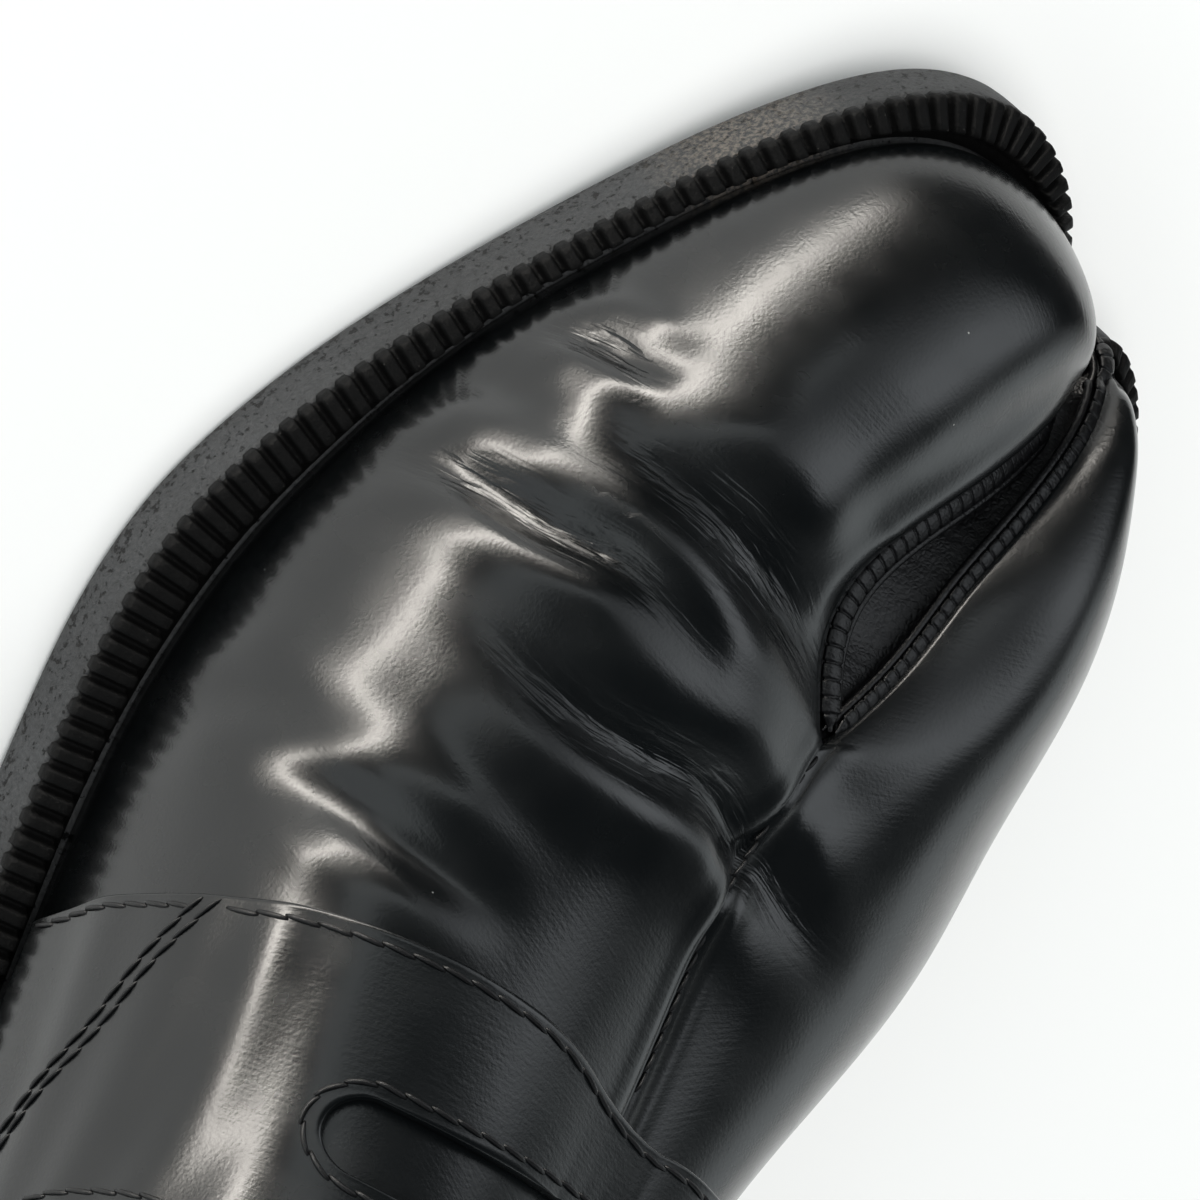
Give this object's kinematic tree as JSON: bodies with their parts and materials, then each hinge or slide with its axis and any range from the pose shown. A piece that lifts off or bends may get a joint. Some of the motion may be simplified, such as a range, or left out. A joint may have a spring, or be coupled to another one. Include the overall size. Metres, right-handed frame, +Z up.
{
  "type": "tabi loafer",
  "caption": "Left split-toe leather loafer: hollow upper with saddle strap and coin slot, soft gusset between the toe lobes, ribbed welt, notched rubber sole and low stacked heel.",
  "frame": {"origin": "middle of the outsole's outline in plan, on the floor plane", "axes": "+Y to the toe, +X to the wearer's right, which is this left shoe's inner side, +Z up"},
  "size_m": [0.1036, 0.2897, 0.079],
  "materials": {
    "sole_rubber": "worn matte side with fine pits",
    "lift_rubber": "matte",
    "welt_leather": "matte ribbed",
    "polished_leather": "polished, creased",
    "soft_leather": "soft matte, wrinkled",
    "insole_leather": "smooth matte"
  },
  "bodies": {
    "root": {"outsole": "sole_rubber", "heel": "sole_rubber", "top_lift": "lift_rubber", "welt": "welt_leather", "upper": "polished_leather", "saddle_strap": "polished_leather", "tongue": "polished_leather", "toe_gusset": "soft_leather", "insole": "insole_leather"}
  },
  "joints": []
}
